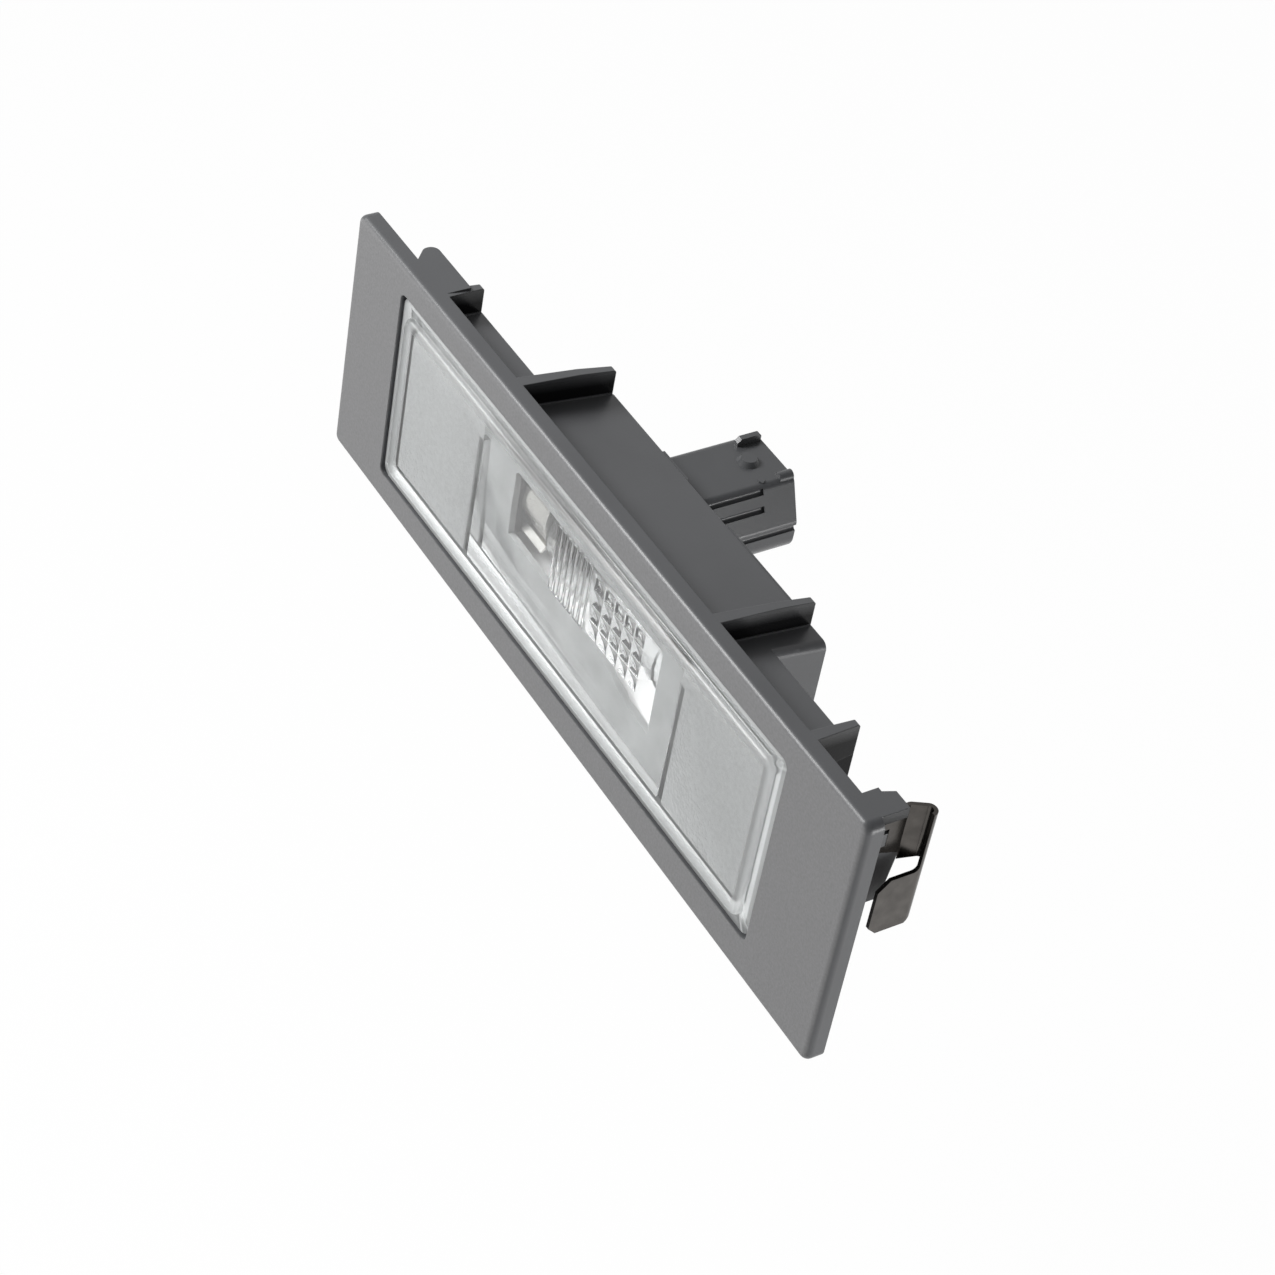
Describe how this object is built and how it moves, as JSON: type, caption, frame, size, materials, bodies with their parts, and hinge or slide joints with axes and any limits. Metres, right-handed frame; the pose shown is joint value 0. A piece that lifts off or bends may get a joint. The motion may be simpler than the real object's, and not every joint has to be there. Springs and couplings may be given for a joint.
{
  "type": "number plate lamp",
  "caption": "Rear number plate lamp: slim rectangular bezel with frosted lens, tubular bulb, rear connector shroud, hook end and spring clip end.",
  "frame": {"origin": "middle of the lens aperture's height, at mid length of the bezel, on the plane of the bezel's back face", "axes": "+X along the lamp towards the spring clip, +Y into the car, away from the lens, +Z across the lamp towards the straight long edge of the bezel"},
  "size_m": [0.0944, 0.0262, 0.0312],
  "materials": {
    "housing_plastic": "fine grained moulded black polycarbonate blend",
    "lens_plastic": "clear moulded polycarbonate, frosted in the end fields",
    "reflector_plastic": "satin pale grey reflector",
    "carrier_plastic": "moulded black polyamide",
    "clip_steel": "dark phosphated spring steel",
    "contact_metal": "tinned stamped strip",
    "bulb_glass": "clear",
    "cap_metal": "nickel plated",
    "wire": "drawn wire"
  },
  "bodies": {
    "root": {"housing": "housing_plastic", "lens": "lens_plastic", "reflector": "reflector_plastic", "bulb_carrier": "carrier_plastic", "spring_clip": "clip_steel", "contact_left": "contact_metal", "contact_right": "contact_metal", "bulb_glass": "bulb_glass", "bulb_cap_left": "cap_metal", "bulb_cap_right": "cap_metal", "bulb_filament": "wire", "bulb_lead_left": "wire", "bulb_lead_right": "wire"}
  },
  "joints": []
}
